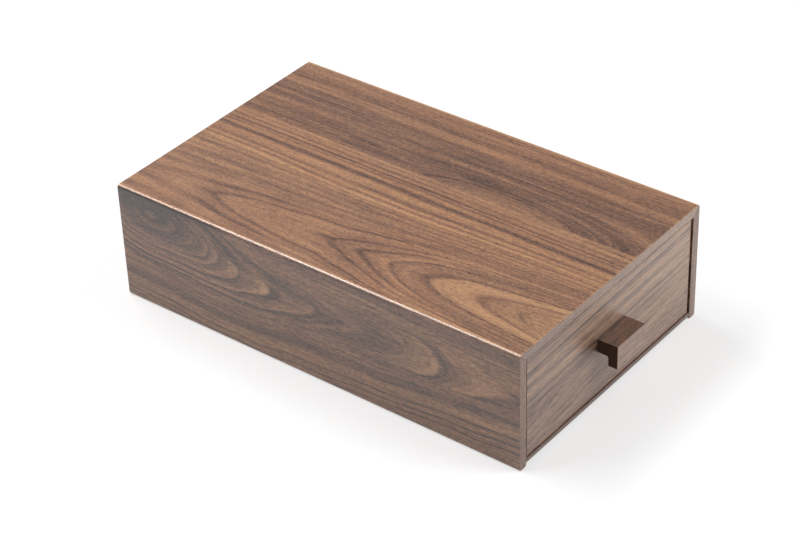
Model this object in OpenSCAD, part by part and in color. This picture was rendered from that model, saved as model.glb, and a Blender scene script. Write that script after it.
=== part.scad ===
// Wooden puzzle box: a mitred walnut sleeve that holds one drawer.
// A key under the case slides sideways and puts a peg in front of a keeper on the drawer.
// X is the width, Y runs from the front to the back, and Z is up from the table.

/* [Case] */
// Length of the case from front to back
case_l = 300; // [220:1:420]
// Width of the case
case_w = 185; // [150:1:260]
// Height of the case
case_h = 81; // [72:1:130]
// Thickness of the top, sides and back
board_t = 6.4; // [5:0.1:9]
// Radius of the two long upper edges
top_edge_r = 2; // [0.5:0.1:4]
// Radius of the feet, which are the side boards' lower edges
foot_r = 1.6; // [0.4:0.1:2.4]
// Height of the bottom's underside above the table
foot_rise = 2.5; // [2.4:0.1:8]
// Thickness of the bottom
bottom_t = 3; // [2.5:0.1:6]
// Depth of the grooves that hold the bottom and the back
groove_d = 3; // [1.5:0.1:4]
// Distance from the case's front edge to the start of the bottom's grooves
groove_stop = 6; // [3:0.5:20]
// How far the back sits in from the case's rear edge
back_recess = 1; // [0.2:0.1:5]
// Thickness of the tongue round the back
back_tongue_t = 3; // [2:0.1:4.5]

/* [Mitre splines] */
// Thickness of a spline
spline_t = 1.5; // [1:0.1:2]
// Width of a spline
spline_w = 4; // [3:0.1:5]
// Distance from a mitre's inner corner to the middle of its spline
spline_in = 3; // [2.6:0.1:4]
// Distance from a spline's ends to the front edge and to the back's tongue
spline_stop = 12; // [6:1:40]

/* [Drawer] */
// How far the drawer's front sits in from the case's front edge when shut
front_recess = 0.8; // [0.2:0.1:4]
// Gap at each side of the drawer
side_gap = 1.5; // [0.5:0.1:3]
// Gap above the drawer
top_gap = 1.3; // [0.5:0.1:3]
// Running gap under the drawer
run_gap = 0.3; // [0.2:0.1:1]
// Thickness of the drawer's front
front_t = 10; // [8:0.5:14]
// Thickness of the front's ends, which lap over the sides
front_lap_t = 5; // [3:0.5:7]
// Thickness of the drawer's sides
side_t = 6; // [5:0.1:9]
// Thickness of the drawer's back
back_t = 6; // [5:0.1:9]
// Depth of the rebates in the sides that take the drawer's back
back_rebate_d = 3; // [2:0.1:4.5]
// Thickness of the drawer's bottom
tray_t = 3; // [2:0.1:5]
// Depth of the grooves that hold the drawer's bottom
tray_groove_d = 3; // [2:0.1:4]
// Thickness of the felt lining
lining_t = 1.2; // [0.8:0.1:3]
// Gap round the felt lining
lining_gap = 0.3; // [0.2:0.1:2]

/* [Stop pads] */
// Diameter of a cork pad
pad_d = 12; // [8:1:20]
// Thickness of a cork pad
pad_t = 1.5; // [1:0.1:4]
// Distance from the side of the drawer in to the middle of a pad
pad_in = 29.6; // [12:0.1:60]
// Height of the pads above the inside of the bottom
pad_up = 34; // [12:1:50]
// Gap between the pads and the shut drawer
shut_gap = 0.3; // [0.2:0.1:1]

/* [Pull] */
// Width of the pull
pull_w = 28.5; // [22:0.5:60]
// How far the pull stands out from the drawer's front
pull_d = 13.8; // [12:0.1:24]
// Height of the pull's leg
pull_h = 15.8; // [12:0.1:24]
// Thickness of the arm that meets the drawer
pull_arm_t = 9; // [7:0.1:11]
// Thickness of the leg that the fingers hook behind
pull_leg_t = 6.3; // [3:0.1:7]
// Distance from the front's upper edge down to the pull
pull_drop = 28.1; // [10:0.1:40]
// Radius of the inner corner between arm and leg
pull_inner_r = 1.5; // [0.5:0.1:2.5]
// Radius of the leg's inner lower edge
pull_tip_r = 1; // [0.2:0.1:2]

/* [Pull screws] */
// Diameter of a screw's shank
screw_d = 3; // [2.5:0.1:4]
// Diameter of a screw's countersunk head
screw_head_d = 6; // [5:0.1:8]
// Height of a screw's head
screw_head_h = 1.7; // [1.2:0.1:2.5]
// How deep a screw goes into the pull
screw_bite = 8; // [5:0.5:10]
// Distance between the two screws
screw_spacing = 14; // [10:0.5:20]
// Radial gap between a screw and its hole in the drawer's front
screw_gap = 0.2; // [0.1:0.05:0.5]
// Width of the cross recess in a screw's head
recess_w = 0.8; // [0.5:0.1:1.2]
// Length of the cross recess
recess_l = 3.4; // [2:0.1:4]
// Depth of the cross recess
recess_d = 1.1; // [0.5:0.1:1.4]

/* [Lock] */
// Distance from the shut drawer's front to the key's front guide
guide_back = 3.7; // [1:0.1:60]
// How far the key slides to lock the drawer
key_travel = 10; // [8:0.5:16]
// How far the key's plate reaches past each end of its slot
key_cover = 3; // [1:0.5:8]
// Width of the key's plate
key_w = 26; // [20:0.5:40]
// Thickness of the key's plate
key_t = 2.4; // [1.8:0.1:4]
// Length of the grip that hangs in the slot
grip_l = 16; // [14:0.5:30]
// Width of the grip
grip_w = 12; // [8:0.5:14]
// Radius of the flutes across the grip
flute_r = 0.8; // [0.4:0.1:1]
// Distance from the grip's end to the middle of its first flute
flute_in = 1.2; // [1:0.1:1.5]
// Distance from one flute to the next
flute_pitch = 2.4; // [2.1:0.1:2.5]
// Gap round the key
key_gap = 0.3; // [0.2:0.05:0.6]
// Diameter of the peg
peg_d = 4; // [3:0.1:4.5]
// Height of the chamfer on the peg's upper end
peg_chamfer = 0.5; // [0.2:0.1:1]
// How far the peg's lower end sits up inside the grip
peg_inset = 0.5; // [0.2:0.1:2]
// Height by which the peg reaches up past the keeper's lower face
catch_h = 2; // [1.2:0.1:4]
// Gap between the lock and what the drawer carries over it
pass_gap = 0.5; // [0.3:0.1:1]
// Overlap of a guide's lip over the key's plate
lip_w = 3; // [1.5:0.1:4]
// Thickness of a guide's lip
lip_t = 1.3; // [1:0.1:3]
// Width of a guide where it is glued down
guide_w = 6; // [4:0.5:12]
// How far the guides reach past the key at each end of its travel
guide_past = 4; // [0:0.5:12]
// Width of the keeper
keeper_w = 12; // [6:0.5:13]
// Depth of the keeper
keeper_d = 10; // [6:0.5:20]
// Gap between the peg and the keeper when locked
keeper_gap = 1; // [0.5:0.1:3]

/* [Hidden] */
$fn = 48;

// Radial slack of a pin or screw in its tight hole
fit_gap = 0.05;
// Cutters run this far past the faces they open
past = 1;

// Case
front_y = -(case_l - (pull_d - front_recess)) / 2;
inner_w = case_w - 2 * board_t;
floor_z = foot_rise + bottom_t;
ceiling_z = case_h - board_t;
back_front_y = case_l - back_recess - board_t;
tongue_y = back_front_y + (board_t - back_tongue_t) / 2;

// Drawer
tray_front_y = front_recess + front_t;
drawer_w = inner_w - 2 * side_gap;
drawer_z = floor_z + run_gap;
drawer_h = ceiling_z - top_gap - drawer_z;
drawer_end_y = back_front_y - pad_t - shut_gap;
tray_back_y = drawer_end_y - back_t;
tray_w = drawer_w - 2 * side_t;

// Lock, with heights from the key up to the drawer's bottom
key_y = tray_front_y + guide_back + guide_w + key_gap + key_w / 2;
guide_h = key_t + 2 * key_gap + lip_t;
catch_z = floor_z + guide_h + pass_gap;
peg_top_z = catch_z + catch_h;
tray_z = peg_top_z + pass_gap;
slot_l = grip_l + key_travel + 2 * key_gap;
slot_w = grip_w + 2 * key_gap;
key_l = slot_l + key_travel + 2 * key_cover;
guide_l = key_l + key_travel + 2 * guide_past;
key_open_x = -key_travel / 2;
key_locked_x = key_travel / 2;

// Pull
pull_top_z = drawer_z + drawer_h - pull_drop;
screw_z = pull_top_z - pull_arm_t / 2;

walnut = [0.46, 0.34, 0.28];
walnut_edge = [0.52, 0.42, 0.35];
dark_walnut = [0.34, 0.24, 0.19];
birch = [0.76, 0.65, 0.50];
felt = [0.30, 0.30, 0.31];
cork = [0.66, 0.50, 0.35];
brass = [0.78, 0.62, 0.32];
steel = [0.72, 0.72, 0.74];

// Moves a piece drawn from the case's front edge into the part's frame,
// whose origin is the middle of the footprint, with the pull.
module from_front() {
    translate([0, front_y, 0]) children();
}

// A box that is centred on X, from its middle's x, its front y and its lower z
module box_at(x, y, z, size) {
    translate([x - size[0] / 2, y, z]) cube(size);
}

// A section drawn across the width, run from y_start to y_end
module run_back(y_start, y_end) {
    translate([0, y_end, 0]) rotate([90, 0, 0]) linear_extrude(y_end - y_start) children();
}

module right_and_left() {
    children();
    mirror([1, 0, 0]) children();
}

// Section of the right side board: round feet, and a mitre at the top
module side_section() {
    x_in = case_w / 2 - board_t;
    intersection() {
        union() {
            for (x = [x_in + foot_r, case_w / 2 - foot_r]) translate([x, foot_r]) circle(foot_r);
            translate([x_in + foot_r, 0]) square([board_t - 2 * foot_r, 2 * foot_r]);
            translate([x_in, foot_r]) square([board_t, case_h - top_edge_r - foot_r]);
            translate([case_w / 2 - top_edge_r, case_h - top_edge_r]) circle(top_edge_r);
            translate([x_in, foot_r]) square([board_t - top_edge_r, case_h - foot_r]);
        }
        polygon([[x_in, 0], [case_w / 2, 0], [case_w / 2, case_h], [x_in, ceiling_z]]);
    }
}

// Section of the top board: mitred ends and round outer corners
module top_section() {
    intersection() {
        union() {
            square_w = case_w - 2 * top_edge_r;
            translate([-square_w / 2, ceiling_z]) square([square_w, board_t]);
            translate([-case_w / 2, ceiling_z]) square([case_w, board_t - top_edge_r]);
            for (x = [-square_w / 2, square_w / 2])
                translate([x, case_h - top_edge_r]) circle(top_edge_r);
        }
        polygon([[-inner_w / 2, ceiling_z], [inner_w / 2, ceiling_z],
                 [case_w / 2, case_h], [-case_w / 2, case_h]]);
    }
}

// The bottom's two edges, which sit in the side boards
module bottom_tongues() {
    right_and_left()
        translate([inner_w / 2, groove_stop, foot_rise])
            cube([groove_d, case_l - groove_stop, bottom_t]);
}

// The back's tongue, which sits in the side boards and the top
module back_tongue() {
    box_at(0, tongue_y, floor_z,
           [inner_w + 2 * groove_d, back_tongue_t, ceiling_z - floor_z + groove_d]);
}

// The right spline lies square across the mitre
module spline() {
    shift = spline_in / sqrt(2);
    run_back(spline_stop, tongue_y - spline_stop)
        translate([inner_w / 2 + shift, ceiling_z + shift])
            rotate(45) square([spline_t, spline_w], center = true);
}

module side_board() {
    difference() {
        run_back(0, case_l) side_section();
        bottom_tongues();
        back_tongue();
        spline();
    }
}

module case_top() {
    color(walnut) from_front() difference() {
        run_back(0, case_l) top_section();
        back_tongue();
        right_and_left() spline();
    }
}

module case_left_side() {
    color(walnut) from_front() mirror([1, 0, 0]) side_board();
}

module case_right_side() {
    color(walnut) from_front() side_board();
}

module case_bottom() {
    color(walnut_edge) from_front() difference() {
        union() {
            box_at(0, 0, foot_rise, [inner_w, case_l, bottom_t]);
            bottom_tongues();
        }
        box_at(0, key_y - slot_w / 2, foot_rise - past, [slot_l, slot_w, bottom_t + 2 * past]);
    }
}

module case_back() {
    color(walnut) from_front() {
        box_at(0, back_front_y, floor_z, [inner_w, board_t, ceiling_z - floor_z]);
        back_tongue();
    }
}

module left_mitre_spline() {
    color(birch) from_front() mirror([1, 0, 0]) spline();
}

module right_mitre_spline() {
    color(birch) from_front() spline();
}

// A cork disc on the inside of the back
module stop_pad() {
    translate([drawer_w / 2 - pad_in, back_front_y, floor_z + pad_up])
        rotate([90, 0, 0]) cylinder(h = pad_t, d = pad_d);
}

module left_stop_pad() {
    color(cork) from_front() mirror([1, 0, 0]) stop_pad();
}

module right_stop_pad() {
    color(cork) from_front() stop_pad();
}

// A strip on the bottom whose lip holds the key's rear edge down
module key_guide() {
    foot_y = key_w / 2 + key_gap;
    lip_y = key_w / 2 - lip_w;
    translate([0, key_y, 0]) {
        box_at(0, foot_y, floor_z, [guide_l, guide_w, guide_h]);
        box_at(0, lip_y, floor_z + guide_h - lip_t, [guide_l, foot_y + guide_w - lip_y, lip_t]);
    }
}

module key_front_guide() {
    color(birch) from_front() translate([0, 2 * key_y, 0]) mirror([0, 1, 0]) key_guide();
}

module key_rear_guide() {
    color(birch) from_front() key_guide();
}

// The key at rest is unlocked. It slides along +X to lock.
module lock_key() {
    color(dark_walnut) from_front() translate([key_open_x, key_y, 0]) difference() {
        union() {
            box_at(0, -key_w / 2, floor_z + key_gap, [key_l, key_w, key_t]);
            box_at(0, -grip_w / 2, foot_rise, [grip_l, grip_w, bottom_t + key_gap + key_t]);
        }
        right_and_left() for (step = [0, 1])
            translate([grip_l / 2 - flute_in - step * flute_pitch, -grip_w / 2 - past, foot_rise])
                rotate([-90, 0, 0]) cylinder(h = grip_w + 2 * past, r = flute_r);
        translate([0, 0, foot_rise - past]) cylinder(h = peg_top_z, d = peg_d + 2 * fit_gap);
    }
}

module lock_peg() {
    peg_low_z = foot_rise + peg_inset;
    peg_l = peg_top_z - peg_low_z;
    color(brass) from_front() translate([key_open_x, key_y, peg_low_z])
        rotate_extrude()
            polygon([[0, 0], [peg_d / 2, 0], [peg_d / 2, peg_l - peg_chamfer],
                     [peg_d / 2 - peg_chamfer, peg_l], [0, peg_l]]);
}

// The drawer's bottom board, with the edges that sit in the grooves round it
module tray_board() {
    box_at(0, tray_front_y - tray_groove_d, tray_z,
           [tray_w + 2 * tray_groove_d, tray_back_y - tray_front_y + 2 * tray_groove_d, tray_t]);
}

// The drawer's back, which sits in rebates in the sides
module back_board() {
    box_at(0, tray_back_y, catch_z, [tray_w + 2 * back_rebate_d, back_t, drawer_z + drawer_h - catch_z]);
}

// The whole length of the drawer's right side, before its grooves are cut
module side_blank() {
    side_y = front_recess + front_lap_t;
    translate([tray_w / 2, side_y, drawer_z]) cube([side_t, drawer_end_y - side_y, drawer_h]);
}

module drawer_side() {
    difference() {
        side_blank();
        back_board();
        tray_board();
    }
}

// Puts a thing drawn along +Z at both screws, pointing out through the front
module at_screws() {
    for (x = [-screw_spacing / 2, screw_spacing / 2])
        translate([x, tray_front_y, screw_z]) rotate([90, 0, 0]) children();
}

// A countersunk screw, or the hole for one where gap widens it
module screw_shape(gap, depth) {
    cylinder(h = depth, d = screw_d + 2 * gap);
    cylinder(h = screw_head_h, d1 = screw_head_d + 2 * gap, d2 = screw_d + 2 * gap);
}

module drawer_front() {
    color(walnut) from_front() difference() {
        box_at(0, front_recess, drawer_z, [drawer_w, front_t, drawer_h]);
        right_and_left() side_blank();
        tray_board();
        at_screws() {
            screw_shape(screw_gap, front_t + past);
            translate([0, 0, -past]) cylinder(h = past, d = screw_head_d + 2 * screw_gap);
        }
    }
}

module drawer_left_side() {
    color(walnut) from_front() mirror([1, 0, 0]) drawer_side();
}

module drawer_right_side() {
    color(walnut) from_front() drawer_side();
}

module drawer_back() {
    color(walnut) from_front() difference() {
        back_board();
        tray_board();
    }
}

module drawer_bottom() {
    color(birch) from_front() tray_board();
}

module drawer_lining() {
    color(felt) from_front()
        box_at(0, tray_front_y + lining_gap, tray_z + tray_t,
               [tray_w - 2 * lining_gap, tray_back_y - tray_front_y - 2 * lining_gap, lining_t]);
}

// A block glued under the drawer's bottom, just behind the locked peg
module lock_keeper() {
    keeper_y = key_y + peg_d / 2 + keeper_gap;
    color(birch) from_front()
        box_at(key_locked_x, keeper_y, catch_z, [keeper_w, keeper_d, tray_z - catch_z]);
}

// Section of the pull, with x as the distance out from the drawer and y as the height
module pull_section() {
    leg_x = pull_d - pull_leg_t;
    arm_y = pull_h - pull_arm_t;
    difference() {
        union() {
            translate([0, arm_y]) square([pull_d, pull_arm_t]);
            translate([leg_x, pull_tip_r]) square([pull_leg_t, pull_h - pull_tip_r]);
            translate([leg_x + pull_tip_r, 0]) square([pull_leg_t - pull_tip_r, pull_h]);
            translate([leg_x + pull_tip_r, pull_tip_r]) circle(pull_tip_r);
            translate([leg_x - pull_inner_r, arm_y - pull_inner_r]) square([pull_inner_r, pull_inner_r]);
        }
        translate([leg_x - pull_inner_r, arm_y - pull_inner_r]) circle(pull_inner_r);
    }
}

module drawer_pull() {
    color(dark_walnut) from_front() difference() {
        translate([-pull_w / 2, front_recess, pull_top_z - pull_h])
            rotate([90, 0, -90]) mirror([0, 0, 1]) linear_extrude(pull_w) pull_section();
        at_screws() cylinder(h = front_t + screw_bite, d = screw_d + 2 * fit_gap);
    }
}

module pull_screws() {
    color(steel) from_front() at_screws() difference() {
        screw_shape(0, front_t + screw_bite);
        for (turn = [0, 90])
            rotate(turn) translate([-recess_l / 2, -recess_w / 2, -past])
                cube([recess_l, recess_w, recess_d + past]);
    }
}

case_top();
case_left_side();
case_right_side();
case_bottom();
case_back();
left_mitre_spline();
right_mitre_spline();
left_stop_pad();
right_stop_pad();
key_front_guide();
key_rear_guide();
lock_key();
lock_peg();
drawer_front();
drawer_left_side();
drawer_right_side();
drawer_back();
drawer_bottom();
drawer_lining();
lock_keeper();
drawer_pull();
pull_screws();
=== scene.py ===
"""A walnut box with one drawer, dressed and set in a plain studio."""
import math

import bmesh
import bpy
from mathutils import Matrix, Vector


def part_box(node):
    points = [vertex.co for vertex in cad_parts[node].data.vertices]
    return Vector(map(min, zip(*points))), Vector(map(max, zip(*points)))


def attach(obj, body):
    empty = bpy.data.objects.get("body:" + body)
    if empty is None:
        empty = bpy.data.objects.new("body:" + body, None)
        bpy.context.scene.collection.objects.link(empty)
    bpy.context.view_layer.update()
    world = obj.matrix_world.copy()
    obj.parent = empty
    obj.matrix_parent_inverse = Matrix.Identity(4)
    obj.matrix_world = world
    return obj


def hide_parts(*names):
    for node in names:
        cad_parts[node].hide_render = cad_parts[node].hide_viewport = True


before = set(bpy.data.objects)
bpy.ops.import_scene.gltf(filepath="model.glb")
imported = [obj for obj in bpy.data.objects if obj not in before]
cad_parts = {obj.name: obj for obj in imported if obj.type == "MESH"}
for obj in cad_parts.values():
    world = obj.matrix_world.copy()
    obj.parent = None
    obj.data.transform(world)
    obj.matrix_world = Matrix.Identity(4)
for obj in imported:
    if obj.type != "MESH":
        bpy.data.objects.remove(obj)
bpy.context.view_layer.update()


# ---- Top board -------------------------------------------------------------------
# A 6.4 mm board faced with two leaves of walnut veneer that meet in a straight joint.
# Its long edges are mitred to the sides and rounded over, and its ends are banded.
class Tone:
    """A value or colour on its way through a finish. Sums on values add Math nodes."""

    def __init__(self, tree, socket=None):
        self.tree, self.socket = tree, socket

    def node(self, kind, settings=None, sockets=None, out=0):
        """Adds a node with its settings and its sockets' values or links."""
        made = self.tree.nodes.new("ShaderNode" + kind)
        for key, value in (settings or {}).items():
            if key == "stops":
                steps = made.color_ramp.elements
                steps.remove(steps[1])
                steps[0].position = value[0][0]
                steps[0].color = value[0][1]
                for at, colour in value[1:]:
                    steps.new(at).color = colour
            elif key == "curve":
                made.color_ramp.interpolation = value
            else:
                setattr(made, key, value)
        for key, value in (sockets or {}).items():
            if isinstance(value, Tone):
                self.tree.links.new(value.socket, made.inputs[key])
            else:
                made.inputs[key].default_value = value
        return Tone(self.tree, made.outputs[out])

    def math(self, operation, *values):
        """A Math node's result for the values."""
        return self.node("Math", {"operation": operation}, dict(enumerate(values)))

    def __add__(self, other):
        return self.math("ADD", self, other)

    def __sub__(self, other):
        return self.math("SUBTRACT", self, other)

    def __rsub__(self, other):
        return self.math("SUBTRACT", other, self)

    def __mul__(self, other):
        return self.math("MULTIPLY", self, other)

    def __truediv__(self, other):
        return self.math("DIVIDE", self, other)

    def __pow__(self, other):
        return self.math("POWER", self, other)

    def __gt__(self, other):
        return self.math("GREATER_THAN", self, other)

    def __abs__(self):
        return self.math("ABSOLUTE", self)

    __radd__, __rmul__ = __add__, __mul__

    def least(self, other):
        """This value, or the other where this one is lower."""
        return self.math("MAXIMUM", self, other)

    def most(self, other):
        """This value, or the other where this one is higher."""
        return self.math("MINIMUM", self, other)

    def fade(self, start, end):
        """0 before start, 1 past end, and smooth between."""
        return self.node(
            "MapRange",
            {"interpolation_type": "SMOOTHSTEP"},
            {"Value": self, "From Min": start, "From Max": end},
        )

    def shades(self, *stops, curve="LINEAR"):
        """The shade at this place, from (place, shade) stops in rising order."""
        low, high = stops[0][0], stops[-1][0]
        greys = [((at - low) / (high - low), (shade, shade, shade, 1)) for at, shade in stops]
        settings = {"stops": greys, "curve": curve}
        return self.node("ValToRGB", settings, {0: (self - low) / (high - low)})

    def mix(self, first, second):
        """From the first colour to the second as this value goes from 0 to 1."""
        return self.node("Mix", {"data_type": "RGBA"}, {0: self, 6: first, 7: second}, 2)

    def between(self, first, second):
        """From the first value to the second as this value goes from 0 to 1."""
        return self.node("Mix", {}, {0: self, 2: first, 3: second})

    def place(self, x, y, z):
        """A place made of three values."""
        return self.node("CombineXYZ", {}, {0: x, 1: y, 2: z})

    def parts(self):
        """The three values of this place or colour."""
        return [self.node("SeparateXYZ", {}, {0: self}, out) for out in range(3)]

    def cloud(self, scales, detail=2.0, rough=0.5):
        """Noise about 0 at this place, drawn out by the three scales."""
        drawn = self.node("VectorMath", {"operation": "MULTIPLY"}, {0: self, 1: scales})
        sockets = {"Vector": drawn, "Scale": 1.0, "Detail": detail, "Roughness": rough}
        return self.node("TexNoise", {}, sockets) - 0.5

    def ripple(self, scale, detail=2.0):
        """Noise about 0 along this value."""
        return self.place(self, 0.0, 0.0).cloud((scale, 1, 1), detail)


def linear(*levels):
    """A colour of 0 to 255 levels as the shader takes it."""
    return (*(((level / 255 + 0.055) / 1.055) ** 2.4 for level in levels), 1)


def finish(name, **constants):
    """A material, a Tone to start its finish from, and its Principled shader."""
    material = bpy.data.materials.new(name)
    material.use_nodes = True
    tree = material.node_tree
    tree.nodes.clear()
    shader = tree.nodes.new("ShaderNodeBsdfPrincipled")
    end = tree.nodes.new("ShaderNodeOutputMaterial")
    tree.links.new(shader.outputs[0], end.inputs[0])
    for key, value in constants.items():
        shader.inputs[key.replace("_", " ")].default_value = value
    return material, Tone(tree), shader


def lay(shader, **tones):
    """Links the tones that change over the surface to the shader's sockets."""
    for key, tone in tones.items():
        tone.tree.links.new(tone.socket, shader.inputs[key.replace("_", " ")])


MM = 1000  # a board's own places are in metres, and its figure is drawn in millimetres
AXES = {"x": 0, "y": 1, "z": 2}
WALNUT_BROWNS = [
    (0.0, linear(62, 40, 30)),
    (0.22, linear(106, 72, 55)),
    (0.42, linear(139, 99, 75)),
    (0.58, linear(163, 117, 87)),
    (0.76, linear(186, 137, 98)),
    (1.0, linear(210, 160, 116)),
]
PORE_BROWN = linear(58, 38, 30)
END_GRAIN_BROWN = linear(52, 25, 6)
RED_CAST = (1.10, 0.95, 0.84)
BAND_WARMTH = 0.93


def walnut(name, grain, face, figure, offset=(0, 0, 0), bold=1.0, warmth=1.0, dark=0.0,
           gloss=1.5, run=1.0, banded=True):
    """Oiled walnut. grain is the axis that it runs along and face the axis across it,
    and figure draws the board's rings from the places along, across and through it.
    A lower run draws the fibres out longer, and a banded board has a strip on its ends."""
    material, wood, shader = finish(
        name, IOR=1.5, Coat_Weight=1.0, Coat_Roughness=0.30, Coat_IOR=gloss)
    here = wood.node("TexCoord", out="Object").parts()
    here = [tone * MM + shift for tone, shift in zip(here, offset)]
    along, across = here[AXES[grain]], here[AXES[face]]
    through = here[3 - AXES[grain] - AXES[face]]
    facing = wood.node("TexCoord", out="Normal").parts()
    end = abs(facing[AXES[grain]]) > 0.8  # 1 on the faces across the grain
    if banded:  # the strip's grain runs across the board, cut 31 mm from the face's
        along, across = end.between(along, across), end.between(across, through + 31)

    # The board's figure, wavering a little, with each ring a shade of its own.
    spot = wood.place(along * run, across, through)
    wave = spot.cloud((0.011, 0.045, 0.045)) * 5 + spot.cloud((0.05, 0.22, 0.22), 3.0) * 2.0
    rings, shade = figure(along, across, through, wave)
    ringed = wood.place(rings, along * 0.016, through * 0.02)
    shade = shade + ringed.cloud((0.45, 1, 1), 1.0) * 0.35 + ringed.cloud((1.5, 1, 1), 2.0) * 0.60

    # Long fibres and short flecks over it, and pores that are thicker in some rings.
    fibre = spot.cloud((0.04, 1.0, 1.0), 3.0, 0.65)
    fleck = wood.place(along * run ** 0.5, across, through).cloud((0.4, 1.8, 1.8), 2.0, 0.7)
    pore = spot.cloud((0.26, 1.7, 1.7), 1.0).fade(0.07, 0.17) * rings.ripple(0.3).fade(-0.25, 0.1)
    shade = (shade + fibre * 0.65 + fleck * 1.2 - 0.5) * bold + 0.5 - dark

    brown = wood.node("ValToRGB", {"stops": WALNUT_BROWNS}, {0: shade})
    warm = spot.cloud((0.008, 0.03, 0.03), 1.0).fade(-0.12, 0.12)
    redder = wood.node("VectorMath", {"operation": "MULTIPLY"}, {0: brown, 1: RED_CAST})
    brown = (warm * 0.28).mix(brown, redder)
    brown = (pore * 0.55).mix(brown, PORE_BROWN)
    depth = (end * banded).between(warmth, BAND_WARMTH)
    brown = wood.node("HueSaturation", {}, {"Saturation": depth, "Color": brown})
    rough = 0.42 + pore * 0.25 + fleck * 0.10
    if not banded:  # end grain drinks the oil and turns dark and dull
        brown = (end * 0.85).mix(brown, END_GRAIN_BROWN)
        rough = rough + end * 0.4
        lay(shader, Coat_Weight=1 - end)
    relief = fibre * 0.6 + fleck * 0.5 - pore
    bump = {"Strength": 0.35, "Distance": 0.0001, "Height": relief}
    lay(shader, Base_Color=brown, Roughness=rough, Normal=wood.node("Bump", {}, bump))
    return material


SHARP = math.radians(38)


def eased(node, body, material, ease=0.0003):
    """Replaces a node by the same board in its own finish, its sharp edges broken."""
    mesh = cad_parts[node].data.copy()
    board = bmesh.new()
    board.from_mesh(mesh)
    bmesh.ops.remove_doubles(board, verts=board.verts, dist=1e-6)
    bmesh.ops.dissolve_limit(
        board, angle_limit=math.radians(1), verts=board.verts, edges=board.edges)
    sharp = [
        edge for edge in board.edges
        if len(edge.link_faces) == 2 and edge.is_convex and edge.calc_face_angle() > SHARP]
    bmesh.ops.bevel(
        board, geom=sharp, offset=ease, segments=2, profile=0.5, affect="EDGES",
        clamp_overlap=True)
    for edge in board.edges:
        edge.smooth = len(edge.link_faces) == 2 and edge.calc_face_angle() < SHARP
    for face in board.faces:
        face.smooth = True
    board.to_mesh(mesh)
    board.free()
    mesh.materials.clear()
    mesh.materials.append(material)
    piece = bpy.data.objects.new(node + "_eased", mesh)
    bpy.context.scene.collection.objects.link(piece)
    weighted = piece.modifiers.new("Even faces", "WEIGHTED_NORMAL")
    weighted.keep_sharp = True
    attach(piece, body)
    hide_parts(node)


front_end, back_end = (corner.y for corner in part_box("case_top"))
to_front = (0, -front_end * MM, 0)  # places along a board are measured from the case's front


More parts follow.
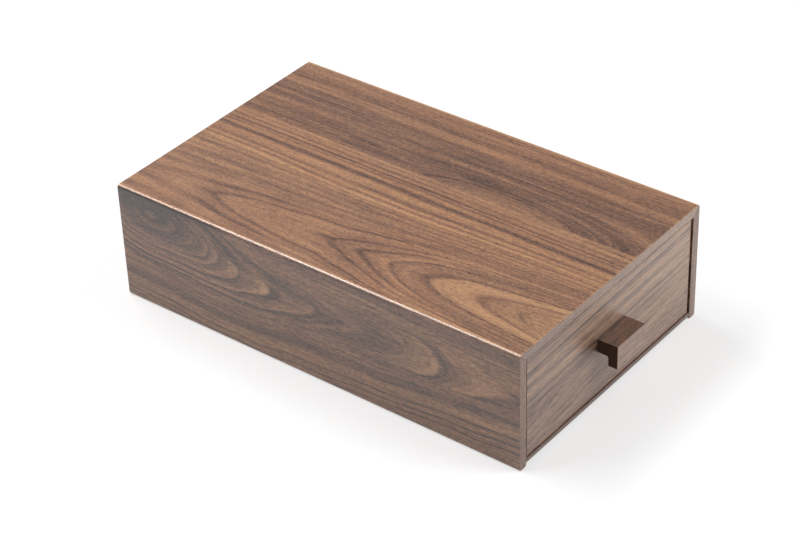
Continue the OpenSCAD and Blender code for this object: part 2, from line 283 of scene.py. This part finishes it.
def top_figure(along, x, through, wave):
    """A crown-cut leaf whose arches point to the back beside a darker, straighter one."""
    leaf_joint = 23.5
    heart = -59.5 - along * 0.025
    streak = along.fade(180, 260) * 2.5 - along.fade(0, 160) * 6 - 11
    streak_ring = 48
    across = (x + wave * 0.6 - heart) / (streak - heart)
    across = abs(across * (0.92 + (across > 0) * 0.08)).most(1)

    # The rings at the heart line grow to the back, and meet the streak's ring at its side.
    tips = along.shades(
        (0, 0.125), (30, 0.167), (60, 0.205), (88, 0.25), (123, 0.34), (156, 0.400),
        (176, 0.408), (196, 0.424), (216, 0.440), (247, 0.470), (300, 0.488)) * 2400
    pointed = across ** 1.28 * 0.45 + across ** 3 * 0.55
    spread = along.fade(60, 150).between(across ** 2, pointed)
    rings = (tips + (streak_ring ** 2 - tips) * spread) ** 0.5
    upper = (x - streak).least(0)
    rings = rings + (upper / (0 - streak)).most(1) * 17 + x.least(0) + wave * 0.3 * upper.most(1)

    # The rings' shades: the arches, the lines beside them, and those past the middle.
    arches = rings.shades(
        (15, 0.60), (17.3, 0.68), (18.9, 0.64), (19.4, 0.44), (19.8, 0.82), (20.9, 0.70),
        (21.4, 0.46), (21.8, 0.87), (23.8, 0.80), (24.3, 0.20), (24.9, 0.48), (26.9, 0.48),
        (27.3, 0.26), (27.9, 0.56), (29.0, 0.52), (29.4, 0.28), (29.9, 0.56), (30.6, 0.50),
        (31.0, 0.18), (31.4, 0.58), (31.7, 0.66), (31.9, 0.52), (32.1, 0.66), (32.45, 0.62),
        (32.6, 0.50), (32.8, 0.64), (33.3, 0.54), (33.6, 0.16), (33.9, 0.52), (34.05, 0.46),
        (34.2, 0.56))
    lines = rings.shades(
        (34.2, 0.56), (34.6, 0.38), (35.2, 0.60), (36.2, 0.42), (37.0, 0.58), (38.0, 0.40),
        (39.2, 0.60), (40.3, 0.44), (41.5, 0.62), (42.5, 0.44), (43.8, 0.66), (45.0, 0.46),
        (46.2, 0.66), (47.2, 0.54), (48.4, 0.94), (50.2, 0.66), (51.4, 0.42), (54.0, 0.82),
        (56.4, 0.40), (60.0, 0.66), (63.8, 0.74), (65.4, 0.46), (67.4, 0.16))
    level = rings.shades(
        (67.4, 0.16), (68.6, 0.34), (69.8, 0.62), (72.3, 0.60), (73.0, 0.30), (74.4, 0.58),
        (76.5, 0.30), (77.8, 0.68), (79.9, 0.48), (80.6, 0.28), (81.4, 0.56), (83.5, 0.70),
        (84.8, 0.46), (86.2, 0.70), (88.5, 0.50))
    arches = (wave.fade(-1.6, 1.6) * 0.35).between(arches, 0.58)
    light = (rings > 34.2).between(arches, (rings > 67.4).between(lines, level))

    # The second leaf: nearly straight lines that bulge away from the joint a third of the
    # way back, with three soft dark patches.
    off = x - 22 + wave * 0.4
    away = (98 - along).least((along - 98).most(66))
    bow = (off * off + 0.044 * (1 - off.fade(14, 34)) * away * away) ** 0.5
    second = bow.shades(
        (0, 0.52), (8, 0.48), (10.6, 0.44), (11.6, 0.16), (13.0, 0.32), (14.3, 0.42),
        (15.2, 0.24), (16.4, 0.40), (18.2, 0.38), (19.2, 0.24), (20.4, 0.36), (23.1, 0.28),
        (25.0, 0.52), (27.0, 0.34), (30.0, 0.28), (32.0, 0.42), (35.0, 0.28), (38.0, 0.42),
        (41.0, 0.34), (43.5, 0.46), (45.0, 0.60), (49.0, 0.56), (51.0, 0.38), (57.0, 0.42),
        (60.0, 0.58), (65.0, 0.50), (68.0, 0.62), (71.0, 0.54))
    second = second + along.fade(120, 260) * 0.05 * (1 - x.fade(50, 70))
    for centre, level, long, wide in ((116, 38, 28, 4), (206, 33, 20, 3), (84, 35, 14, 2.5)):
        smudge = (((along - centre) / long) ** 2 + ((x - level) / wide) ** 2) ** 0.5
        second = second - (1 - smudge.fade(0.2, 1.1)) * 0.22

    # A painted highlight lies along the rounded long edges and the front arris. The strips on the
    # ends lie past 100 and pale to the right.
    painted_edge_highlight = abs(x).fade(88.8, 90.6) * 0.28 + (1 - along.fade(0.3, 1.2)) * 0.2
    edges = (abs(x) > 100).between(painted_edge_highlight, along * 0.0015)
    leaf = x > leaf_joint
    return leaf.between(rings, bow + 120), leaf.between(light, second) + edges


top_walnut = walnut("Top walnut", "y", "x", top_figure, to_front, gloss=1.85)
eased("case_top", "case", top_walnut)


# ---- Sides -----------------------------------------------------------------------
# Two boards faced with walnut veneer, mitred to the top, each standing on its own foot edge.
# The left one shows a swirl near its back end, with long ovals round it.
def left_figure(along, z, through, wave):
    """Ovals nested round a dark swirl near the back, their points to the front."""
    y = along - 150  # from the board's middle to the back
    swirl = 122
    ahead = swirl - y

    # How large the ovals are by how far they reach ahead of the swirl, and behind it.
    reach = ahead.shades(
        (0, 0.0), (20, 0.05), (44, 0.19), (68, 0.37), (92, 0.48), (127, 0.57),
        (175, 0.64), (195, 0.70), (215, 0.80), (240, 0.93), (268, 1.0), curve="CARDINAL") * 2055
    reach = reach + 0.35 * (0 - ahead).least(0) ** 2

    # How far a place is off the line that the ovals lie along, which climbs to the back.
    rise = (-50 - y).least(0) * 0.09 * (1 - z.fade(28, 42))
    off = z - 50.5 - 19.5 * (y - 20).fade(0, 100) - rise + wave * 0.7
    off = off * (1 + (off > 0) * y.fade(0, 60) * 0.45)
    room = 13 + 25 * y.fade(10, 100)
    pointed = y.shades(
        (-150, 1.0), (-118, 0.9), (-98, 0.1), (-45, 0.0), (-8, 0.8), (42, 0.7), (60, 0.1),
        (150, 0.0))
    spread = pointed.between(off ** 2, 3.6 * abs(off) ** 1.5)
    rings = (reach + spread) ** 0.5 + 2 * (abs(off) - room).least(0)

    # The rings' shades below that line and above it, and then outside the ovals.
    lower = rings.shades(
        (0, 0.62), (2.5, 0.50), (5, 0.24), (8, 0.44), (11, 0.26), (15, 0.46), (16.5, 0.36),
        (18, 0.52), (19.2, 0.62), (19.9, 0.36), (21.0, 0.52), (22.4, 0.68), (23.0, 0.34),
        (24.4, 0.50), (27.2, 0.70), (27.7, 0.28), (28.8, 0.50), (31.1, 0.78), (31.6, 0.18),
        (32.6, 0.42), (33.9, 0.76), (34.4, 0.24), (35.6, 0.42), (37.4, 0.46),
        (39.3, 0.72), (40.7, 0.84), (41.1, 0.28), (43.2, 0.52), (45.0, 0.82), (45.4, 0.34),
        (47.0, 0.50))
    upper = rings.shades(
        (0, 0.56), (6, 0.28), (12, 0.42), (15, 0.30), (18, 0.52), (20, 0.42), (23, 0.50),
        (25, 0.32), (28.5, 0.24), (30.4, 0.50), (31.6, 0.44), (33.8, 0.28), (36.0, 0.48),
        (38.4, 0.42), (40.4, 0.68), (41.2, 0.28), (43.0, 0.54), (45.0, 0.66), (47.0, 0.50))
    calm = (abs(off) - room).fade(-1, 2)
    shade = calm.between(off.fade(1, 6).between(lower, upper), 0.48)
    level = rings.shades(
        (47, 0.48), (48.2, 0.64), (49.4, 0.40), (53, 0.62), (57, 0.42), (61, 0.56),
        (66, 0.38), (78, 0.37), (82, 0.54), (87, 0.64), (99, 0.64), (102, 0.28), (105, 0.60),
        (111, 0.58), (114, 0.22), (117, 0.58), (122, 0.54), (125, 0.20), (128, 0.56),
        (138, 0.48))
    light = (rings > 47).between(shade, level)

    # A pale spot with a dark mark near the middle, a dark corner high at the back, a dark band
    # just under the rounded top edge, darkest at the back, and paler wood along the foot and high
    # in front.
    knot = ((y + 26) ** 2 * 0.4 + (z - 47.5) ** 2) ** 0.5
    mark = ((y + 23) ** 2 * 0.2 + (z - 50.5) ** 2) ** 0.5
    light = light + (1 - knot.fade(1, 4)) * 0.12 - (1 - mark.fade(0.5, 2)) * 0.22
    corner = y.fade(70, 130) * z.fade(62, 80)
    # seam here is a dark band just under the rounded top edge, darkest at the back.
    seam = z.fade(77.6, 79.0) * (0.08 + y.fade(50, 135) * 0.9)
    pale = z.fade(40, 66) * (1 - y.fade(20, 90)) + 1 - z.fade(4, 14)
    return rings, light + pale * 0.07 - corner * 0.32 - seam


def right_figure(along, z, through, wave):
    """Plain arches along the middle of the board, their points to the front."""
    off = z - 34 - along * 0.03 + wave * 0.6
    rings = (500 + 3.2 * (1 - abs(off).fade(24, 40)) * (300 - along) + off * off) ** 0.5
    shade = rings.shades(
        (20, 0.55), (23.5, 0.36), (24.2, 0.60), (26.4, 0.34), (27.2, 0.56), (29.4, 0.36),
        (30.0, 0.58), (32.6, 0.34), (33.4, 0.58), (35.6, 0.30), (36.5, 0.52), (38.4, 0.34),
        (39.4, 0.60), (41.6, 0.40), (43.0, 0.56), (45.6, 0.36), (47.0, 0.60), (49.6, 0.40),
        (52.0, 0.56), (54.0, 0.36), (57.0, 0.54))
    return rings, shade


left_walnut = walnut(
    "Left side walnut", "y", "z", left_figure, to_front, bold=1.15, warmth=0.95, dark=0.11)
right_walnut = walnut(
    "Right side walnut", "y", "z", right_figure, to_front, bold=1.15, warmth=0.95, dark=0.09)
eased("case_left_side", "case", left_walnut)
eased("case_right_side", "case", right_walnut)


# ---- Bottom and back -------------------------------------------------------------
# Two plain walnut boards. The 3 mm bottom sits in grooves in the sides, a little above their
# feet, and the tongue round the back sits in grooves in the sides and the top.
def plain_figure(along, across, through, wave):
    """Straight lines with a fine dark one here and there."""
    rings = across + wave * 0.9 + 40
    bands = rings.ripple(0.16) * 0.9
    return rings, 0.48 + bands - rings.ripple(0.62).fade(0.12, 0.24) * 0.22


# The bottom is darker than the other boards: painted shade for its front ledge and edge under the
# drawer front.
bottom_walnut = walnut(
    "Bottom walnut", "y", "x", plain_figure, to_front, bold=0.8, warmth=0.85, dark=0.24)
back_walnut = walnut("Back walnut", "x", "z", plain_figure, (0, 0, 90))
eased("case_bottom", "case", bottom_walnut)
eased("case_back", "case", back_walnut)


# ---- Mitre splines and guides ----------------------------------------------------
# Birch strips: two splines glued across the mitres, and two guides on the bottom whose lips
# hold the sliding key down. The keeper, glued under the drawer, is a block of the same wood.
BIRCH = [(0.1, linear(190, 158, 118)), (0.5, linear(212, 184, 143)), (0.9, linear(226, 202, 165))]


def birch(name, grain):
    """Plain planed birch whose lines run along the grain's axis."""
    material, wood, shader = finish(name, IOR=1.5)
    spot = wood.place(*(tone * MM for tone in wood.node("TexCoord", out="Object").parts()))
    drawn = [0.03 if axis == grain else 1.0 for axis in AXES]
    bands, lines, flecks = (
        spot.cloud(tuple(scale * way for way in drawn), 3.0, 0.6) for scale in (0.12, 0.9, 3.2))
    shade = 0.5 + bands * 1.1 + lines * 0.7 + flecks * 0.4
    bump = {"Strength": 0.3, "Distance": 0.0001, "Height": lines + flecks}
    lay(
        shader,
        Base_Color=wood.node("ValToRGB", {"stops": BIRCH}, {0: shade}),
        Roughness=0.5 + lines * 0.2,
        Normal=wood.node("Bump", {}, bump))
    return material


birch_y = birch("Birch along", "y")
birch_x = birch("Birch across", "x")


def refinish(node, material):
    """Gives a node its finish and leaves its shape as it is."""
    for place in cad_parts[node].material_slots:
        place.link = "OBJECT"
        place.material = material


for strip in ("left_mitre_spline", "right_mitre_spline"):
    refinish(strip, birch_y)
for strip in ("key_front_guide", "key_rear_guide", "lock_keeper"):
    refinish(strip, birch_x)


# ---- Stop pads -------------------------------------------------------------------
# Two 1.5 mm cork discs glued on the inside of the back. The drawer's back meets them, which
# stops the drawer softly with its front just inside the case.
def pressed_cork():
    """Grains of cork about a millimetre wide, each a brown of its own, with dark seams."""
    material, tone, shader = finish("Cork")
    grains = {"Vector": tone.node("TexCoord", out="Object"), "Scale": 900.0}
    middle = tone.node("TexVoronoi", {}, grains)
    own = tone.node("TexVoronoi", {}, grains, "Color").parts()[0]
    seam = tone.node("TexVoronoi", {"feature": "DISTANCE_TO_EDGE"}, grains)
    browns = [
        (0.0, linear(150, 106, 66)), (0.5, linear(186, 138, 92)), (1.0, linear(206, 164, 116))]
    brown = tone.node("ValToRGB", {"stops": browns}, {0: own})
    bump = {"Strength": 0.5, "Distance": 0.0002, "Height": seam.fade(0, 0.1)}
    lay(
        shader,
        Base_Color=(1 - seam.fade(0.0, 0.06)).mix(brown, linear(92, 60, 38)),
        Roughness=0.85 - middle * 0.1,
        Normal=tone.node("Bump", {}, bump))
    return material


cork = pressed_cork()
refinish("left_stop_pad", cork)
refinish("right_stop_pad", cork)


# ---- Sliding key -----------------------------------------------------------------
# A dark walnut plate that slides between the guides, with a fluted grip that hangs in the
# bottom's slot. The brass peg pushed up through it blocks the drawer when it is slid over.
def key_figure(along, across, through, wave):
    """Rings round a heart well below the plate, so nearly straight."""
    rings = ((across + 30) ** 2 + (through + 60) ** 2) ** 0.5 + wave * 0.5
    return rings, 0.34 + rings.ripple(0.5) * 0.7


dark_key = walnut("Key walnut", "x", "y", key_figure, dark=0.10, banded=False)
eased("lock_key", "key", dark_key, ease=0.0002)


def metal(name, colour, rough, scratch):
    """Turned metal, its fine scratches drawn out by the three scales of scratch."""
    material, tone, shader = finish(name, Metallic=1.0)
    brushed = tone.node("TexCoord", out="Object").cloud(scratch, 3.0, 0.6)
    duller = tuple(level * 0.8 for level in colour)
    bump = {"Strength": 0.1, "Distance": 0.00005, "Height": brushed}
    lay(
        shader,
        Base_Color=(0.5 + brushed).mix(colour, duller),
        Roughness=rough + brushed * 0.2,
        Normal=tone.node("Bump", {}, bump))
    return material


brass = metal("Brass", linear(206, 168, 98), 0.28, (3000, 3000, 500))
refinish("lock_peg", brass)


# ---- Drawer ----------------------------------------------------------------------
# A 10 mm solid walnut front that laps over two 6 mm walnut sides, a back in rebates in the
# sides, and a 3 mm birch bottom in grooves all round, glued up as one tray.
def front_figure(along, z, through, wave):
    """Close straight lines above, and a calm, slightly tilted stretch below."""
    tilt = z.fade(26, 40).between(0.15, 0.03)
    rings = z - 6.8 - tilt * along + wave * 0.5
    shade = rings.shades(
        (-14, 0.50), (-6, 0.44), (0, 0.54), (4, 0.44), (8, 0.60), (12, 0.60), (15, 0.46),
        (19, 0.52), (26, 0.54), (33, 0.50), (34.5, 0.40), (36, 0.56), (39, 0.46), (42, 0.64),
        (46, 0.62), (48, 0.46), (51, 0.54), (54, 0.68), (56.5, 0.50), (58.6, 0.46),
        (59.2, 0.26), (60.2, 0.52), (64, 0.56), (67, 0.44), (76, 0.5)) + along * 0.0008
    lines = rings.ripple(0.5, 3.0) * z.fade(16, 46).between(0.35, 1.1)
    # A painted shadow of the pull: the front is darker beside it.
    painted_pull_shadow = (((along + 20) / 26) ** 2 + ((z - 43) / 14) ** 2) ** 0.5  # darker beside the pull
    shade = (shade - 0.5) * 1.4 + 0.5 + lines - (1 - painted_pull_shadow.fade(0.2, 1)) * 0.22
    return rings + 30, shade


front_walnut = walnut(
    "Drawer front walnut", "x", "z", front_figure, bold=1.1, warmth=0.83, dark=-0.08, run=0.14)
eased("drawer_front", "drawer", front_walnut)


def solid_figure(along, across, through, wave):
    """Wide rings round a heart outside the board."""
    rings = ((across + 22) ** 2 + (through + 8) ** 2) ** 0.5 + wave * 0.8
    return rings, 0.46 + rings.ripple(0.22) * 0.9 - rings.ripple(0.7).fade(0.1, 0.25) * 0.2


side_stock = walnut("Drawer side walnut", "y", "z", solid_figure)
end_stock = walnut("Drawer back walnut", "x", "z", solid_figure)
eased("drawer_left_side", "drawer", side_stock)
eased("drawer_right_side", "drawer", side_stock)
eased("drawer_back", "drawer", end_stock)
refinish("drawer_bottom", birch_y)


# ---- Felt lining -----------------------------------------------------------------
# One sheet of charcoal wool felt, 1.2 mm thick, cut to fit inside the drawer and laid
# loose on its bottom. The cut edge wanders a little and its upper corner is worn down.
low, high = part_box("drawer_lining")
felt_mesh = bpy.data.meshes.new("felt")
felt = bmesh.new()
steps_x, steps_y = 78, 136  # about 2 mm each
cut_in, cut_wander = 0.0002, 0.00012
top_drop, top_wave, corner_drop = 0.00008, 0.00006, 0.0003
grid = {}
for layer, height in enumerate((low.z, high.z)):
    for i in range(steps_x + 1):
        for j in range(steps_y + 1):
            inset = cut_in + cut_wander * math.sin(i * 1.7 + j * 2.3)
            x = low.x + (high.x - low.x) * i / steps_x
            y = low.y + (high.y - low.y) * j / steps_y
            x = min(max(x, low.x + inset), high.x - inset)
            y = min(max(y, low.y + inset), high.y - inset)
            z = height
            if layer:
                wave = math.sin(i * 0.9 + j * 0.37) * math.sin(j * 0.53 + 1.3)
                at_edge = i in (0, steps_x) or j in (0, steps_y)
                z += top_wave * wave - top_drop - corner_drop * at_edge
            grid[layer, i, j] = felt.verts.new((x, y, z))
for i in range(steps_x):
    for j in range(steps_y):
        around = [(i, j), (i + 1, j), (i + 1, j + 1), (i, j + 1)]
        felt.faces.new([grid[1, *corner] for corner in around])
        felt.faces.new([grid[0, *corner] for corner in around[:1] + around[:0:-1]])
rim = (
    [(i, 0) for i in range(steps_x)] + [(steps_x, j) for j in range(steps_y)]
    + [(i, steps_y) for i in range(steps_x, 0, -1)] + [(0, j) for j in range(steps_y, 0, -1)])
for near, far in zip(rim, rim[1:] + rim[:1]):
    felt.faces.new([grid[0, *near], grid[0, *far], grid[1, *far], grid[1, *near]])
for face in felt.faces:
    face.smooth = True
felt.to_mesh(felt_mesh)
felt.free()
lining = bpy.data.objects.new("felt_sheet", felt_mesh)
bpy.context.scene.collection.objects.link(lining)


def charcoal_felt():
    """Matted wool: soft tufts, hairs over them and a fine nap."""
    material, wool, shader = finish(
        "Charcoal felt", Sheen_Weight=0.5, Sheen_Roughness=0.5, Specular_IOR_Level=0.2)
    here = wool.node("TexCoord", out="Object")
    hairs = here.cloud((900, 900, 900), 5.0, 0.75)
    tufts = here.cloud((160, 160, 160), 3.0, 0.6)
    nap = here.cloud((4000, 4000, 4000), 2.0, 0.7)
    greys = [(0.1, linear(38, 37, 38)), (0.5, linear(62, 61, 62)), (0.9, linear(96, 94, 94))]
    shade = 0.5 + hairs * 0.9 + tufts * 0.4 + nap * 0.6
    relief = hairs + tufts * 0.5 + nap * 0.4
    bump = {"Strength": 0.7, "Distance": 0.0004, "Height": relief}
    lay(
        shader,
        Base_Color=wool.node("ValToRGB", {"stops": greys}, {0: shade}),
        Roughness=0.92 - tufts * 0.1,
        Normal=wool.node("Bump", {}, bump))
    return material


felt_mesh.materials.append(charcoal_felt())
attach(lining, "drawer")
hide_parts("drawer_lining")


# ---- Pull and its screws ---------------------------------------------------------
# An L-shaped block of dark walnut whose leg turns down in front, held by two countersunk
# steel screws from inside the drawer. The leg's face is painted paler than the rest, as painted
# light.
pull_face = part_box("drawer_pull")[0].y * MM


def pull_figure(along, across, through, wave):
    """Close rings, with the face painted paler as painted light."""
    rings = ((across + 190) ** 2 + (through - 10) ** 2) ** 0.5 + wave * 0.3
    # Painted light: the leg's face, which faces the front lamp, is paler than the rest.
    painted_lit_face = 1 - across.fade(pull_face + 0.2, pull_face + 0.4)
    return rings, 0.36 + rings.ripple(0.8) * 0.9 + painted_lit_face * 0.26


pull_walnut = walnut(
    "Pull walnut", "x", "y", pull_figure, warmth=1.05, dark=0.13, gloss=1.9, run=0.3,
    banded=False)
eased("drawer_pull", "drawer", pull_walnut, ease=0.00025)
steel = metal("Steel", linear(190, 192, 196), 0.26, (800, 3000, 3000))
refinish("pull_screws", steel)


# ---- Studio ----------------------------------------------------------------------
# A wide sheet of pale paper that looks white but for the case's soft shadow, lit by a long
# soft light high behind the case and a square one in front.
floor_mesh = bpy.data.meshes.new("floor")
floor = bmesh.new()
half = 20
corners = ((-half, -half), (half, -half), (half, half), (-half, half))
floor.faces.new([floor.verts.new((x, y, 0)) for x, y in corners])
floor.to_mesh(floor_mesh)
floor.free()
ground = bpy.data.objects.new("floor", floor_mesh)
bpy.context.scene.collection.objects.link(ground)
ground.location.z = -0.0001  # just under the feet
paper = bpy.data.materials.new("Pale paper")
paper.use_nodes = True
tree = paper.node_tree
tree.nodes.clear()
sheet = Tone(tree)
grey = 0.55
near_glow, far_glow, mirrored_glow = 0.55, 1.0, 0.42
matt = tree.nodes.new("ShaderNodeBsdfDiffuse")
matt.inputs["Color"].default_value = (grey, grey, grey, 1)
glow = tree.nodes.new("ShaderNodeEmission")
both = tree.nodes.new("ShaderNodeAddShader")
seen = sheet.node("LightPath", out="Is Camera Ray")
mirrored = sheet.node("LightPath", out="Is Glossy Ray")
through = sheet.node("LightPath", out="Is Transmission Ray")
x, y, _ = sheet.node("TexCoord", out="Object").parts()
far = (x ** 2 + y ** 2).fade(0.3, 2.5)  # past the shadow the sheet turns white
strength = seen.least(through) * far.between(near_glow, far_glow) + mirrored * mirrored_glow
tree.links.new(strength.socket, glow.inputs["Strength"])
tree.links.new(matt.outputs[0], both.inputs[0])
tree.links.new(glow.outputs[0], both.inputs[1])
end = tree.nodes.new("ShaderNodeOutputMaterial")
tree.links.new(both.outputs[0], end.inputs[0])
floor_mesh.materials.append(paper)

world = bpy.data.worlds.new("Studio")
bpy.context.scene.world = world
world.use_nodes = True
tree = world.node_tree
tree.nodes.clear()
sky = Tone(tree)
seen_level, soft_level, low_level, high_level = 1.0, 0.2, 0.8, 0.16
height = sky.node("TexCoord", out="Generated").parts()[2]
through = sky.node("LightPath", out="Is Transmission Ray")
seen = sky.node("LightPath", out="Is Camera Ray").least(through)
mirrored = sky.node("LightPath", out="Is Glossy Ray")
reflected = height.fade(0.05, 0.45).between(low_level, high_level)
level = seen.between(mirrored.between(soft_level, reflected), seen_level)
air = tree.nodes.new("ShaderNodeBackground")
air.inputs["Color"].default_value = (1, 1, 1, 1)
tree.links.new(level.socket, air.inputs["Strength"])
end = tree.nodes.new("ShaderNodeOutputWorld")
tree.links.new(air.outputs[0], end.inputs[0])


def soft_light(name, place, width, depth, power):
    """An area lamp that faces the middle of the case."""
    lamp = bpy.data.lights.new(name, "AREA")
    lamp.shape, lamp.size, lamp.size_y, lamp.energy = "RECTANGLE", width, depth, power
    holder = bpy.data.objects.new(name, lamp)
    bpy.context.scene.collection.objects.link(holder)
    holder.location = place
    holder.rotation_euler = (-Vector(place)).to_track_quat("-Z", "Y").to_euler()


soft_light("overhead", (-0.3, 0.85, 1.5), 1.7, 0.5, 22)
soft_light("front fill", (0.8, -1.4, 1.7), 1.0, 1.0, 22)


# ---- Camera ----------------------------------------------------------------------
# A long lens above the case's front left corner, rolled a little. It stands nearly five
# case lengths away and looks a little above the middle of the case's underside.
case_length = back_end - front_end
turn, lift, roll = math.radians(-51.14), math.radians(34.71), math.radians(-2.07)
distance, slip, rise = 4.797, -0.0174, 0.0770
level_back = Vector((math.sin(turn), -math.cos(turn), 0))
back = level_back * math.cos(lift) + Vector((0, 0, math.sin(lift)))
right = Vector((0, 0, 1)).cross(back).normalized()
up = back.cross(right)
right, up = (
    right * math.cos(roll) + up * math.sin(roll), up * math.cos(roll) - right * math.sin(roll))
camera = bpy.data.objects.new("camera", bpy.data.cameras.new("camera"))
bpy.context.scene.collection.objects.link(camera)
camera.data.lens = 104.3
middle = Vector((0, (front_end + back_end) / 2, 0))
stand = middle + case_length * (distance * back + slip * right + rise * up)
facing = Matrix((right, up, back)).transposed().to_4x4()
camera.matrix_world = Matrix.Translation(stand) @ facing
bpy.context.scene.camera = camera
bpy.context.scene.view_settings.view_transform = "Standard"
